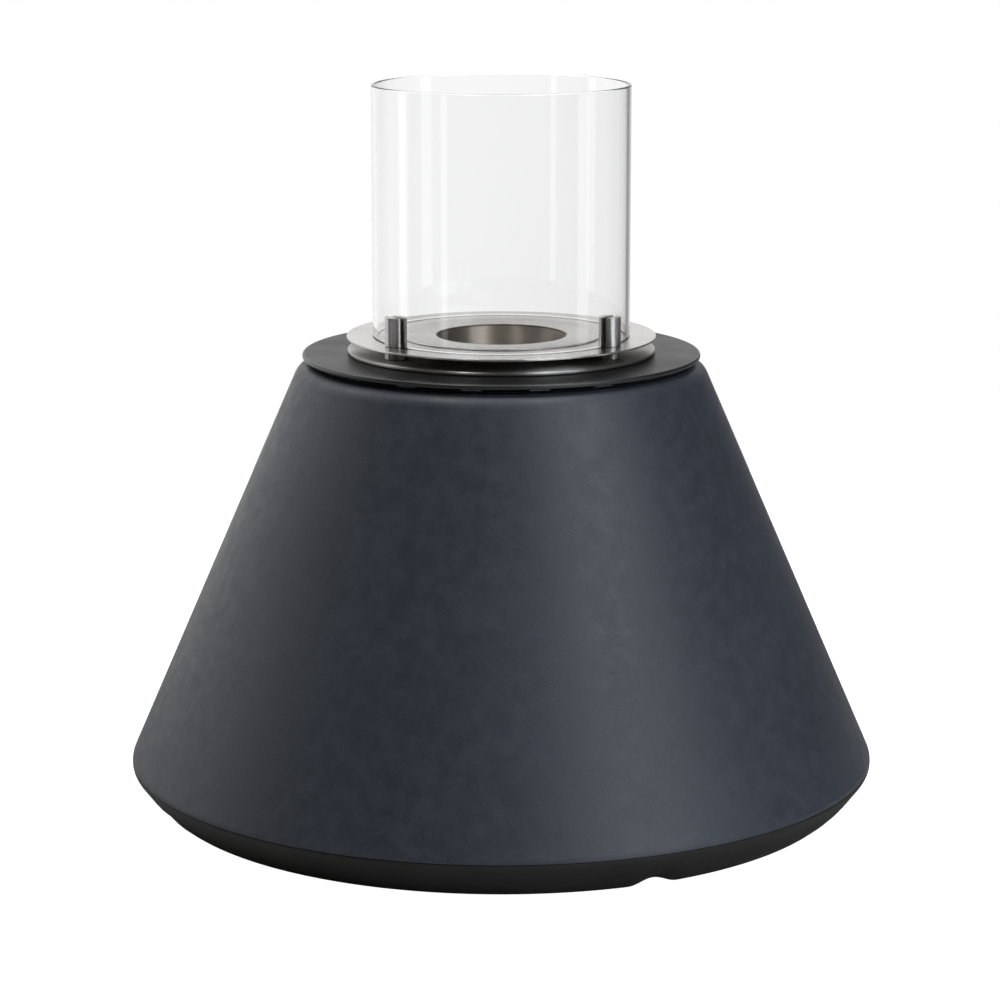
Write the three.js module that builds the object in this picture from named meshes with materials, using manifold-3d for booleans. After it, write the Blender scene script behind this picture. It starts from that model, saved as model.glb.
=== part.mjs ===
// A patio fire: a conical shell on a plinth, a stack of round plates with a liquid-fuel
// burner in the middle, and a glass tube held by two slotted posts.
// Millimetres, +Z up, origin on the floor under the middle. The front is -Y.

import * as THREE from 'three';
import { mergeVertices } from 'three/addons/utils/BufferGeometryUtils.js';
import Module from 'manifold-3d';

const wasm = await Module();
wasm.setup();

// ---- Driving dimensions ----------------------------------------------------------------

const ROUND = 48; // facets round every part that is centred on the axis
const SMALL_ROUND = 16; // facets round standoffs and posts
const SCREW_ROUND = 12; // facets round screws and their holes
const ARC_STEP = 30; // degrees of arc to one facet in a rounded corner
const FINE_ROUNDING = 1.2; // corners rounded less than this are plain chamfers
const SECTOR_STEP = 8; // degrees to one facet in a part of a flat ring
const GAP = 0.3; // clearance between pieces that touch
const PAST = 1; // how far a cutter runs past what it cuts

const GLASS_RADIUS = 100;
const GLASS_WALL = 3;
const GLASS_TOP = 560.6;

const WIDE_RADIUS = 293.4; // the widest circle, where shell and plinth meet
const WIDE_HEIGHT = 31;
const SHELL_TOP = 346;
const SHELL_TOP_RADIUS = 156.9; // where the slope would meet the top, before rounding
const SHOULDER_ROUNDING = 16;
const SHELL_EDGE_ROUNDING = 9.4;
const SHELL_EDGE_CORNER = 33.1; // height where the slope would meet the widest radius
const SHELL_WALL = 9.8; // measured level, so 9 mm square to the slope
const SHELL_LIP_RADIUS = 130;
const SHELL_LIP = 10;
const FOOT_FLANGE = 9;
const FOOT_FLANGE_RADIUS = 262;

const PLINTH_TOP = 30.6;
const PLINTH_BOTTOM = 0.8;
const PLINTH_CORNER = 27.9;
const PLINTH_CORNER_ROUNDING = 7;
const PLINTH_BELLY = [277.6, 7.2]; // radius and height of the lower, softer bend
const PLINTH_BELLY_ROUNDING = 58;
const PLINTH_FLOOR_RADIUS = 268.4;
const PLINTH_INNER_RADIUS = 246;
const PLINTH_WALL = 6;
const PLINTH_SCREW_COUNT = 8;
const PLINTH_SCREW = { circle: 272, head: 5.5, headHeight: 3.5, shank: 3, reach: 7 };

const NOTCH_ANGLE = 23; // degrees from the front to the first notch
const NOTCH_COUNT = 4;
const NOTCH_WIDTH = 40;
const NOTCH_HEIGHT = 5;

const STRIP_RADII = [250, 262];
const STRIP_THICKNESS = 2.6;
const STRIP_SPAN = 68; // degrees of arc
const GROOVE_SPAN = 69;

const LUG_COUNT = 18; // raised lugs on the spacer ring, with air gaps between them
const LUG_FIRST = 10; // degrees
const LUG_WIDTH = 15;
const LUG_DEPTH = 8.8;
const SPACER_RADII = [137, 148];
const SPACER_BAND = 0.9;

const PLATE_RADIUS = 155;
const PLATE_HOLE = 77;
const PLATE_BOTTOM = 349.2;
const PLATE_THICKNESS = 4;
const PLATE_EDGE = 0.6;

const COLLAR_RADII = [125, 127];
const COLLAR_HEIGHT = 24;

const DISC_RADIUS = 119.8;
const DISC_THICKNESS = 3;
const DISC_ROUNDING = 1.3;

const RING_RADIUS = 120.4;
const RING_HOLE = 76;
const RING_TOP = 366.4;
const RING_THICKNESS = 1.5;

const POST_RADIUS = 9;
const POST_HEIGHT = 22;
const POST_ANGLE = 55.3; // degrees either side of the front
const SLOT_HALF_WIDTH = 2.8;
const PAD_THICKNESS = 0.7;
const PAD_WIDTH = 11;
const PAD_MARGIN = [2, 1]; // bare post below and above a pad
const POST_SCREW = { offset: 5.6, reach: 11, head: 3, headHeight: 2.2, shank: 1.5 };
const REAR_ANGLE = 123;
const RING_STUD = { radius: 2.5, length: 22, nut: 4.6, nutHeight: 4 };

const FLANGE_RADIUS = 79.5;
const FLANGE_THICKNESS = 0.9;
const FLANGE_EDGE = 0.4;
const DISH_RADIUS = 72; // the flange slopes down from here to the throat
const DISH_DROP = 1.1;
const THROAT_RADIUS = 50;
const THROAT_DEPTH = 31.6;
const CAN_RADIUS = 74.5;
const CAN_DEPTH = 96;
const CUP_RADIUS = 69;
const CUP_TOP = 352;
const SHEET = 1.2; // wall of the can and the cup
const GRID_THICKNESS = 1;
const GRID_ROWS = [
  { radius: 0, holes: 1 },
  { radius: 15, holes: 6 },
  { radius: 30, holes: 12 },
];
const GRID_HOLE = 4.2;
const RIM_ROUNDING = 1; // top of the glass tube

// Heights and radii that follow from the ones above
const plateTop = PLATE_BOTTOM + PLATE_THICKNESS;
const discBottom = plateTop + GAP;
const discTop = discBottom + DISC_THICKNESS;
const ringBottom = RING_TOP - RING_THICKNESS;
const seat = RING_TOP + GAP; // everything that stands on the ring starts here
const glassMiddle = GLASS_RADIUS - GLASS_WALL / 2;
const slope = (WIDE_RADIUS - SHELL_TOP_RADIUS) / (SHELL_TOP - SHELL_EDGE_CORNER);
const canBottom = RING_TOP - CAN_DEPTH;

// ---- Materials -------------------------------------------------------------------------

function material(color, roughness, metalness) {
  return new THREE.MeshStandardMaterial({ color, roughness, metalness });
}

const fibreCement = material(0x3b4048, 0.55, 0);
const blackMoulding = material(0x211f1e, 0.7, 0);
const rubber = material(0x161616, 0.9, 0);
const powderCoat = material(0x3a3837, 0.5, 0.3);
const brushedSteel = material(0xbdbab5, 0.35, 1);
const polishedSteel = material(0xc9c9c9, 0.15, 1);
const zincSteel = material(0x8f9092, 0.4, 1);
const clearGlass = material(0xf4f7f7, 0.03, 0);
clearGlass.transparent = true;
clearGlass.opacity = 0.25;
const ceramicFibre = material(0xe7e3d8, 0.95, 0);
const silicone = material(0x2b2623, 0.8, 0);

// ---- Geometry helpers ------------------------------------------------------------------

function radians(degrees) {
  return THREE.MathUtils.degToRad(degrees);
}

// A point on a circle round the axis, its angle counted from the front towards +X.
function onCircle(radius, degrees, z = 0) {
  const angle = radians(degrees);
  return new THREE.Vector3(radius * Math.sin(angle), -radius * Math.cos(angle), z);
}

// Points round the corner between three points, with the given rounding.
function cornerPoints(before, corner, after, rounding) {
  const toBefore = before.clone().sub(corner).normalize();
  const toAfter = after.clone().sub(corner).normalize();
  const half = Math.acos(toBefore.dot(toAfter)) / 2;
  const bisector = toBefore.clone().add(toAfter).normalize();
  const centre = corner.clone().addScaledVector(bisector, rounding / Math.sin(half));
  const start = corner.clone().addScaledVector(toBefore, rounding / Math.tan(half));
  const turn = Math.PI - 2 * half;
  const side = Math.sign(toBefore.cross(toAfter));
  const steps = rounding < FINE_ROUNDING ? 1 : Math.max(2, Math.ceil(turn / radians(ARC_STEP)));
  const points = [];
  for (let i = 0; i <= steps; i += 1) {
    points.push(start.clone().rotateAround(centre, (-side * turn * i) / steps));
  }
  return points;
}

// A closed outline from [radius, height, rounding] corners.
function outline(corners) {
  const at = (i) => {
    const [x, y] = corners[(i + corners.length) % corners.length];
    return new THREE.Vector2(x, y);
  };
  return corners.flatMap(([, , rounding], i) =>
    rounding ? cornerPoints(at(i - 1), at(i), at(i + 1), rounding) : [at(i)],
  );
}

// The outline turned round the Z axis. It closes on itself or, as a can does, on the axis.
function turned(corners, segments = ROUND) {
  const points = outline(corners);
  const meetsAxis = points[0].x === 0 && points.at(-1).x === 0;
  if (!meetsAxis) points.push(points[0].clone());
  if (THREE.ShapeUtils.area(points) < 0) points.reverse();
  return new THREE.LatheGeometry(points, segments).rotateX(Math.PI / 2);
}

function band(inner, outer, bottom, top) {
  return turned([
    [inner, bottom],
    [outer, bottom],
    [outer, top],
    [inner, top],
  ]);
}

function upright(radius, bottom, top, segments) {
  return new THREE.CylinderGeometry(radius, radius, top - bottom, segments)
    .rotateX(Math.PI / 2)
    .translate(0, 0, (bottom + top) / 2);
}

function toSolid(geometry) {
  const bare = geometry.clone();
  bare.deleteAttribute('normal');
  bare.deleteAttribute('uv');
  const merged = mergeVertices(bare, 1e-4);
  const index = Array.from(merged.index.array);
  const kept = [];
  for (let i = 0; i < index.length; i += 3) {
    const [a, b, c] = index.slice(i, i + 3);
    if (a !== b && b !== c && c !== a) kept.push(a, b, c);
  }
  return new wasm.Manifold(
    new wasm.Mesh({
      numProp: 3,
      vertProperties: new Float32Array(merged.attributes.position.array),
      triVerts: new Uint32Array(kept),
    }),
  );
}

function toGeometry(solid) {
  const { vertProperties, triVerts } = solid.getMesh();
  const geometry = new THREE.BufferGeometry();
  geometry.setAttribute('position', new THREE.BufferAttribute(vertProperties, 3));
  geometry.setIndex(new THREE.BufferAttribute(triVerts, 1));
  geometry.computeVertexNormals();
  return geometry;
}

function cut(geometry, cutters) {
  const whole = toSolid(geometry);
  return toGeometry(cutters.reduce((solid, cutter) => solid.subtract(toSolid(cutter)), whole));
}

// Solids that overlap, joined into one.
function together(geometries) {
  return toGeometry(geometries.map(toSolid).reduce((sum, solid) => sum.add(solid)));
}

// Copies of one geometry, each moved to a place.
function placed(geometry, places) {
  return places.map((place) => geometry.clone().translate(place.x, place.y, place.z));
}

// Part of a flat ring between two angles.
function sector(inner, outer, centreDegrees, spanDegrees, bottom, top) {
  const from = radians(centreDegrees - spanDegrees / 2 - 90);
  const to = radians(centreDegrees + spanDegrees / 2 - 90);
  const shape = new THREE.Shape();
  shape.absarc(0, 0, outer, from, to, false);
  shape.absarc(0, 0, inner, to, from, true);
  return new THREE.ExtrudeGeometry(shape, {
    depth: top - bottom,
    bevelEnabled: false,
    curveSegments: Math.max(1, Math.round(spanDegrees / SECTOR_STEP)),
  }).translate(0, 0, bottom);
}

// A screw with its head down, from the bottom of the head to the tip.
function screw({ head, headHeight, shank }, bottom, tip) {
  const headPart = upright(head, bottom, bottom + headHeight, SCREW_ROUND);
  const shankPart = upright(shank, bottom + headHeight / 2, tip, SCREW_ROUND);
  return together([headPart, shankPart]);
}

// A clearance hole from bottom to top, at every place.
function drilled(radius, bottom, top, places) {
  return placed(upright(radius + GAP, bottom - PAST, top + PAST, SCREW_ROUND), places);
}

const fire = new THREE.Group();

function addPart(name, geometry, partMaterial, place = new THREE.Vector3()) {
  const mesh = new THREE.Mesh(geometry, partMaterial);
  mesh.name = name;
  mesh.position.copy(place);
  fire.add(mesh);
}

// The same piece at several places, numbered from 1.
function addCopies(name, geometry, places, partMaterial) {
  places.forEach((place, i) => addPart(`${name}_${i + 1}`, geometry, partMaterial, place));
}

// ---- Base: shell, plinth, feet and spacers ---------------------------------------------

const screwTip = WIDE_HEIGHT + PLINTH_SCREW.reach;
const plinthScrewPlaces = Array.from({ length: PLINTH_SCREW_COUNT }, (_, i) =>
  onCircle(PLINTH_SCREW.circle, ((i + 0.5) * 360) / PLINTH_SCREW_COUNT),
);

function slopeRadius(z) {
  return SHELL_TOP_RADIUS + (SHELL_TOP - z) * slope;
}

function coneShell() {
  const flangeTop = WIDE_HEIGHT + FOOT_FLANGE;
  const lipBottom = SHELL_TOP - SHELL_LIP;
  const shell = turned([
    [SHELL_LIP_RADIUS, SHELL_TOP],
    [SHELL_TOP_RADIUS, SHELL_TOP, SHOULDER_ROUNDING],
    [WIDE_RADIUS, SHELL_EDGE_CORNER, SHELL_EDGE_ROUNDING],
    [WIDE_RADIUS, WIDE_HEIGHT],
    [FOOT_FLANGE_RADIUS, WIDE_HEIGHT],
    [FOOT_FLANGE_RADIUS, flangeTop],
    [slopeRadius(flangeTop) - SHELL_WALL, flangeTop],
    [slopeRadius(lipBottom) - SHELL_WALL, lipBottom],
    [SHELL_LIP_RADIUS, lipBottom],
  ]);
  return cut(shell, drilled(PLINTH_SCREW.shank, WIDE_HEIGHT, screwTip, plinthScrewPlaces));
}

// A shallow arch with soft ends, pushed outwards through the plinth's foot.
function notchCutter(degrees) {
  const STEPS = 12;
  const arch = new THREE.Shape();
  arch.moveTo(-NOTCH_WIDTH / 2, -PAST);
  for (let i = 0; i <= STEPS; i += 1) {
    const u = (i / STEPS - 0.5) * NOTCH_WIDTH;
    arch.lineTo(u, NOTCH_HEIGHT * (0.5 + 0.5 * Math.cos((2 * Math.PI * u) / NOTCH_WIDTH)));
  }
  arch.lineTo(NOTCH_WIDTH / 2, -PAST);
  const start = PLINTH_INNER_RADIUS - PAST;
  const cutter = new THREE.ExtrudeGeometry(arch, { depth: WIDE_RADIUS - start, bevelEnabled: false });
  const outwards = onCircle(1, degrees);
  const up = new THREE.Vector3(0, 0, 1);
  const basis = new THREE.Matrix4().makeBasis(up.clone().cross(outwards), up, outwards);
  basis.setPosition(onCircle(start, degrees));
  return cutter.applyMatrix4(basis);
}

const quarterTurns = Array.from({ length: NOTCH_COUNT }, (_, i) => (i * 360) / NOTCH_COUNT);
const notchAngles = quarterTurns.map((turn) => NOTCH_ANGLE + turn);
const stripAngles = notchAngles.map((angle) => angle + 180 / NOTCH_COUNT);

function plinthRing() {
  const innerFoot = PLINTH_BOTTOM + PLINTH_WALL;
  const innerShelf = PLINTH_TOP - PLINTH_WALL;
  const ring = turned([
    [WIDE_RADIUS, PLINTH_TOP],
    [WIDE_RADIUS, PLINTH_CORNER, PLINTH_CORNER_ROUNDING],
    [...PLINTH_BELLY, PLINTH_BELLY_ROUNDING],
    [PLINTH_FLOOR_RADIUS, PLINTH_BOTTOM],
    [PLINTH_INNER_RADIUS, PLINTH_BOTTOM],
    [PLINTH_INNER_RADIUS, innerFoot],
    [PLINTH_FLOOR_RADIUS, innerFoot],
    [WIDE_RADIUS - 2 * PLINTH_WALL, innerShelf],
    [FOOT_FLANGE_RADIUS, innerShelf],
    [FOOT_FLANGE_RADIUS, PLINTH_TOP],
  ]);
  const holes = drilled(PLINTH_SCREW.shank, innerShelf, PLINTH_TOP, plinthScrewPlaces);
  const [inner, outer] = STRIP_RADII;
  const grooveTop = STRIP_THICKNESS + GAP;
  const grooves = stripAngles.map((angle) =>
    sector(inner - GAP, outer + GAP, angle, GROOVE_SPAN, PLINTH_BOTTOM - PAST, grooveTop),
  );
  return cut(ring, [...notchAngles.map(notchCutter), ...grooves, ...holes]);
}

function plinthScrew() {
  const underShelf = PLINTH_TOP - PLINTH_WALL - GAP - PLINTH_SCREW.headHeight;
  return screw(PLINTH_SCREW, underShelf, screwTip);
}

function spacerRing() {
  const [inner, outer] = SPACER_RADII;
  const bottom = SHELL_TOP + GAP;
  const height = PLATE_BOTTOM - GAP - bottom;
  const lugs = Array.from({ length: LUG_COUNT }, (_, i) => {
    const angle = LUG_FIRST + (i * 360) / LUG_COUNT;
    const place = onCircle((inner + outer) / 2, angle, bottom + height / 2);
    return new THREE.BoxGeometry(LUG_WIDTH, LUG_DEPTH, height)
      .rotateZ(radians(angle))
      .translate(place.x, place.y, place.z);
  });
  return together([band(inner, outer, bottom, bottom + SPACER_BAND), ...lugs]);
}

addPart('cone_shell', coneShell(), fibreCement);
addPart('plinth_ring', plinthRing(), blackMoulding);
addCopies('plinth_screw', plinthScrew(), plinthScrewPlaces, zincSteel);
addPart('spacer_ring', spacerRing(), rubber);
stripAngles.forEach((angle, i) => {
  const strip = sector(...STRIP_RADII, angle, STRIP_SPAN, 0, STRIP_THICKNESS);
  addPart(`foot_strip_${i + 1}`, strip, rubber);
});

// ---- Top: plate, disc and ring ---------------------------------------------------------

const sides = [
  { side: 'left', sign: -1 },
  { side: 'right', sign: 1 },
];
const postScrewPlaces = sides.flatMap(({ sign }) =>
  [-POST_SCREW.offset, POST_SCREW.offset].map((offset) =>
    onCircle(glassMiddle + offset, sign * POST_ANGLE),
  ),
);
const studPlaces = sides.map(({ sign }) => onCircle(glassMiddle, sign * REAR_ANGLE));

function screwHoles(bottom, top) {
  return drilled(POST_SCREW.shank, bottom, top, postScrewPlaces);
}

function studHoles(bottom, top) {
  return drilled(RING_STUD.radius, bottom, top, studPlaces);
}

function roundPlate(hole, radius, bottom, top, rounding) {
  return turned([
    [hole, bottom],
    [radius, bottom, rounding],
    [radius, top, rounding],
    [hole, top],
  ]);
}

function topPlate() {
  const plate = roundPlate(PLATE_HOLE, PLATE_RADIUS, PLATE_BOTTOM, plateTop, PLATE_EDGE);
  return cut(plate, [...screwHoles(PLATE_BOTTOM, plateTop), ...studHoles(PLATE_BOTTOM, plateTop)]);
}

function baseDisc() {
  const disc = roundPlate(PLATE_HOLE, DISC_RADIUS, discBottom, discTop, DISC_ROUNDING);
  return cut(disc, [...screwHoles(discBottom, discTop), ...studHoles(discBottom, discTop)]);
}

function ringPlate() {
  const ring = roundPlate(RING_HOLE, RING_RADIUS, ringBottom, RING_TOP, 0);
  return cut(ring, screwHoles(ringBottom, RING_TOP));
}

function locatingCollar() {
  const top = PLATE_BOTTOM - GAP;
  return band(...COLLAR_RADII, top - COLLAR_HEIGHT, top);
}

function standoff(degrees, holes) {
  const place = onCircle(glassMiddle, degrees);
  const [body] = placed(upright(POST_RADIUS, discTop + GAP, ringBottom - GAP, SMALL_ROUND), [place]);
  return cut(body, holes);
}

function postScrew() {
  return screw(POST_SCREW, PLATE_BOTTOM - GAP - POST_SCREW.headHeight, seat + POST_SCREW.reach);
}

function ringStud() {
  const top = ringBottom - GAP;
  return upright(RING_STUD.radius, top - RING_STUD.length, top, SCREW_ROUND);
}

function studNut() {
  const HEXAGON = 6;
  const top = PLATE_BOTTOM - GAP;
  const bottom = top - RING_STUD.nutHeight;
  const nut = upright(RING_STUD.nut, bottom, top, HEXAGON);
  return cut(nut, drilled(RING_STUD.radius, bottom, top, [new THREE.Vector3()]));
}

addPart('top_plate', topPlate(), powderCoat);
addPart('locating_collar', locatingCollar(), zincSteel);
addPart('base_disc', baseDisc(), brushedSteel);
addPart('ring_plate', ringPlate(), brushedSteel);

for (const { side, sign } of sides) {
  const front = standoff(sign * POST_ANGLE, screwHoles(discTop, ringBottom));
  const rear = standoff(sign * REAR_ANGLE, studHoles(discTop, ringBottom));
  addPart(`standoff_front_${side}`, front, polishedSteel);
  addPart(`standoff_rear_${side}`, rear, polishedSteel);
}
addCopies('post_screw', postScrew(), postScrewPlaces, zincSteel);
addCopies('ring_stud', ringStud(), studPlaces, zincSteel);
addCopies('stud_nut', studNut(), studPlaces, zincSteel);

// ---- Holding posts: two cheeks each, the glass between them -----------------------------

const slotInner = glassMiddle - SLOT_HALF_WIDTH;
const slotOuter = glassMiddle + SLOT_HALF_WIDTH;
const postTop = seat + POST_HEIGHT;

function cheek(degrees, inner, outer) {
  const place = onCircle(glassMiddle, degrees);
  const [post] = placed(upright(POST_RADIUS, seat, postTop, SMALL_ROUND), [place]);
  const side = toSolid(post).intersect(toSolid(band(inner, outer, seat - PAST, postTop + PAST)));
  return cut(toGeometry(side), screwHoles(seat, seat + POST_SCREW.reach));
}

function postPad(degrees, inner) {
  const [below, above] = PAD_MARGIN;
  const span = THREE.MathUtils.radToDeg(PAD_WIDTH / glassMiddle);
  return sector(inner, inner + PAD_THICKNESS, degrees, span, seat + below, postTop - above);
}

for (const { side, sign } of sides) {
  const angle = sign * POST_ANGLE;
  addPart(`${side}_post_outer`, cheek(angle, slotOuter, slotOuter + 2 * POST_RADIUS), polishedSteel);
  addPart(`${side}_post_inner`, cheek(angle, slotInner - 2 * POST_RADIUS, slotInner), polishedSteel);
  addPart(`${side}_pad_outer`, postPad(angle, slotOuter - GAP - PAD_THICKNESS), silicone);
  addPart(`${side}_pad_inner`, postPad(angle, slotInner + GAP), silicone);
}

// ---- Glass tube ------------------------------------------------------------------------

function glassTube() {
  const inner = GLASS_RADIUS - GLASS_WALL;
  return turned([
    [inner, seat],
    [GLASS_RADIUS, seat],
    [GLASS_RADIUS, GLASS_TOP, RIM_ROUNDING],
    [inner, GLASS_TOP, RIM_ROUNDING],
  ]);
}

addPart('glass_tube', glassTube(), clearGlass);

// ---- Burner: flange with throat, can, cup, absorber and grid ----------------------------

const flangeTop = seat + FLANGE_THICKNESS;
const throatBottom = flangeTop - THROAT_DEPTH;
const cupBottom = canBottom + SHEET + GAP;
const cupInside = CUP_RADIUS - SHEET - GAP; // radius of what fits in the cup
const gridTop = throatBottom - GAP;
const gridBottom = gridTop - GRID_THICKNESS;

function burnerFlange() {
  return turned([
    [THROAT_RADIUS, throatBottom],
    [THROAT_RADIUS + FLANGE_THICKNESS, throatBottom],
    [THROAT_RADIUS + FLANGE_THICKNESS, seat - DISH_DROP],
    [DISH_RADIUS, seat],
    [FLANGE_RADIUS, seat],
    [FLANGE_RADIUS, flangeTop, FLANGE_EDGE],
    [DISH_RADIUS, flangeTop],
    [THROAT_RADIUS, flangeTop - DISH_DROP, FLANGE_EDGE],
  ]);
}

function openCan(radius, bottom, top) {
  return turned([
    [0, bottom],
    [radius, bottom],
    [radius, top],
    [radius - SHEET, top],
    [radius - SHEET, bottom + SHEET],
    [0, bottom + SHEET],
  ]);
}

function retainingGrid() {
  const disc = upright(cupInside, gridBottom, gridTop, ROUND);
  const places = GRID_ROWS.flatMap(({ radius, holes }) =>
    Array.from({ length: holes }, (_, i) => onCircle(radius, (i * 360) / holes)),
  );
  return cut(disc, drilled(GRID_HOLE, gridBottom, gridTop, places));
}

function absorber() {
  return upright(cupInside, cupBottom + SHEET + GAP, gridBottom - GAP, ROUND);
}

addPart('burner_flange', burnerFlange(), brushedSteel);
addPart('burner_can', openCan(CAN_RADIUS, canBottom, RING_TOP), brushedSteel);
addPart('fuel_cup', openCan(CUP_RADIUS, cupBottom, CUP_TOP), brushedSteel);
addPart('absorber', absorber(), ceramicFibre);
addPart('retaining_grid', retainingGrid(), brushedSteel);

export default fire;
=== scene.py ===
"""The looks of a patio fire: a conical shell on a plinth, round plates, a liquid-fuel burner and
a glass tube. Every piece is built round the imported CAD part, in metres, with +Z up."""

from cmath import phase, rect
from math import atan2, ceil, cos, hypot, pi, radians, sin, tan

import bmesh
import bpy
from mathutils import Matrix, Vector


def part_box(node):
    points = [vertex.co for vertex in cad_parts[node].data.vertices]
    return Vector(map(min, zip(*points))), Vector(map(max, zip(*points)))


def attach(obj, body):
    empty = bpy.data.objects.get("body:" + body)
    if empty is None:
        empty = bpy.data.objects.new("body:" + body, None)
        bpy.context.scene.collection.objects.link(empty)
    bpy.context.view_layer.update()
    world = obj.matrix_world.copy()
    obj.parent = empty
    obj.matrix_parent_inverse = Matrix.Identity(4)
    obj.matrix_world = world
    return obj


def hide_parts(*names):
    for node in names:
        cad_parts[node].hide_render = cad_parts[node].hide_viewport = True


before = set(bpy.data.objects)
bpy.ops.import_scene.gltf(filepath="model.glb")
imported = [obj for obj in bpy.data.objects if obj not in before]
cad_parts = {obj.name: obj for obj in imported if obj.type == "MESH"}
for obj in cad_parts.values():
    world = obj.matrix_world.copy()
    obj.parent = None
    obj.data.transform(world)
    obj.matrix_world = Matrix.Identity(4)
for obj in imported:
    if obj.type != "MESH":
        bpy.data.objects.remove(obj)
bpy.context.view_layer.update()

MM = 0.001


# ---- Sizes that the frame's boxes don't give ----------------------------------------------

ROUND = 192  # facets round a piece centred on the axis
SMALL_ROUND = 64  # facets round posts and standoffs
TINY_ROUND = 40  # facets round screws, studs and nuts
PLATE_ROUND = 256  # facets round the plates, the burner flange and the glass
PLINTH_ROUND = 576  # facets round the plinth, for its notches
ARC_STEP = radians(11)  # turn of one facet in a rounded corner
SUPPORT = 0.4 * MM  # a straight run has a point this close to each rounded end
SHARP = radians(38)  # edges that turn more than this stay sharp

SHELL_TOP_RADIUS = 156.9 * MM
SHOULDER_ROUNDING = 16 * MM
SHELL_EDGE_CORNER = 33.1 * MM
SHELL_EDGE_ROUNDING = 9.4 * MM
SHELL_WALL = 9.8 * MM
SHELL_LIP = 10 * MM
FOOT_FLANGE = 9 * MM
FOOT_FLANGE_RADIUS = 262 * MM

PLINTH_CORNER = 27.9 * MM
PLINTH_CORNER_ROUNDING = 6.3 * MM
PLINTH_BELLY = (277.6 * MM, 7.2 * MM, 58 * MM)  # radius, height and rounding of the low corner
PLINTH_FLOOR_RADIUS = 268.4 * MM
PLINTH_WALL = 6 * MM
PLINTH_SCREWS = 8
PLINTH_SCREW_CLEARANCE = 3.3 * MM

NOTCH_ANGLE = 23  # degrees from the front to the first notch
NOTCH_COUNT = 4
NOTCH_WIDTH = 40 * MM
NOTCH_HEIGHT = 5 * MM
NOTCH_FADE = 24 * MM  # height over which the plinth's section gives way to a notch

STRIP_RADII = (250 * MM, 262 * MM)
STRIP_SPAN = 68  # degrees
STRIP_RIBS = 4
TREAD_GROOVE_WIDTH = 1 * MM
TREAD_GROOVE_DEPTH = 0.7 * MM
SEAT_SPAN = 69  # degrees of the groove in the plinth that takes a strip
SEAT_GAP = 0.3 * MM

LUG_COUNT = 18
LUG_FIRST = 10  # degrees from the front to the first lug
LUG_WIDTH = 15 * MM
LUG_DEPTH = 8.8 * MM
SPACER_RADII = (137 * MM, 148 * MM)
SPACER_BAND = 0.9 * MM  # thickness between the lugs

PLATE_ROUNDING = 1.8 * MM
DISC_ROUNDING = 1.3 * MM
RING_ROUNDING = 0.3 * MM
SCREW_CLEARANCE = 1.8 * MM
STUD_CLEARANCE = 2.8 * MM

SLOT_HALF_WIDTH = 2.8 * MM
POST_ROUND = 96  # facets round a post
WALL_ROUND = 480  # facets of the circle that a post's slot follows
POST_EDGE = 0.45 * MM
POST_THREAD_DEPTH = 11 * MM  # how far a screw's hole goes up into a post
PAD_WIDTH = 11 * MM

THREAD_ROOT = 0.86  # the root radius of a thread, as a share of its crest's
HEAD_RIM = 0.55  # how far up a screw's head its side turns straight, as a share of its height
STUD_PITCH = 0.8 * MM

FLANGE_SHEET = 0.9 * MM
DISH_RADIUS = 72 * MM  # the flange slopes down from here to the throat
DISH_DROP = 1.1 * MM
FLANGE_BEVEL = 0.9 * MM
LIP_SHADE_REACH = 1 * MM  # how far the painted shade reaches from the throat's lip
CAN_SHEET = 1.2 * MM
GRID_HOLE = 4.5 * MM
GRID_ROWS = ((0, 1), (15 * MM, 6), (30 * MM, 12))  # radius of each row and its number of holes


# ---- Reading the frame --------------------------------------------------------------------


def low(node):
    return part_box(node)[0].z


def high(node):
    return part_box(node)[1].z


def outer(node):
    """Outer radius of a node centred on the axis."""
    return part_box(node)[1].x


def inner(node):
    """Radius of the hole in a node centred on the axis."""
    return min(hypot(v.co.x, v.co.y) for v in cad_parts[node].data.vertices)


def middle(node):
    """The middle of a node's box, seen from above."""
    corner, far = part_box(node)
    return Vector(((corner.x + far.x) / 2, (corner.y + far.y) / 2, 0))


def on_circle(radius, degrees, z=0):
    """A point on a circle round the axis, its angle counted from the front towards +X."""
    return Vector((radius * sin(radians(degrees)), -radius * cos(radians(degrees)), z))


# ---- Camera -------------------------------------------------------------------------------

CAMERA_DISTANCE = 2.4552  # level distance from the axis
CAMERA_HEIGHT = 0.7601
CAMERA_TURN = 1.25  # degrees that the camera stands to the left of the front
CAMERA_PITCH = 12.09  # degrees below level
LENS = 114.72
LENS_SHIFT = -0.0013


def add_camera():
    data = bpy.data.cameras.new("camera")
    data.lens = LENS
    data.sensor_width = 36
    data.shift_x = LENS_SHIFT
    data.clip_start = 0.05
    camera = bpy.data.objects.new("camera", data)
    camera.location = on_circle(CAMERA_DISTANCE, -CAMERA_TURN, CAMERA_HEIGHT)
    camera.rotation_euler = (radians(90 - CAMERA_PITCH), 0, -radians(CAMERA_TURN))
    bpy.context.scene.collection.objects.link(camera)
    bpy.context.scene.camera = camera


add_camera()


# ---- Materials ----------------------------------------------------------------------------


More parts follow.
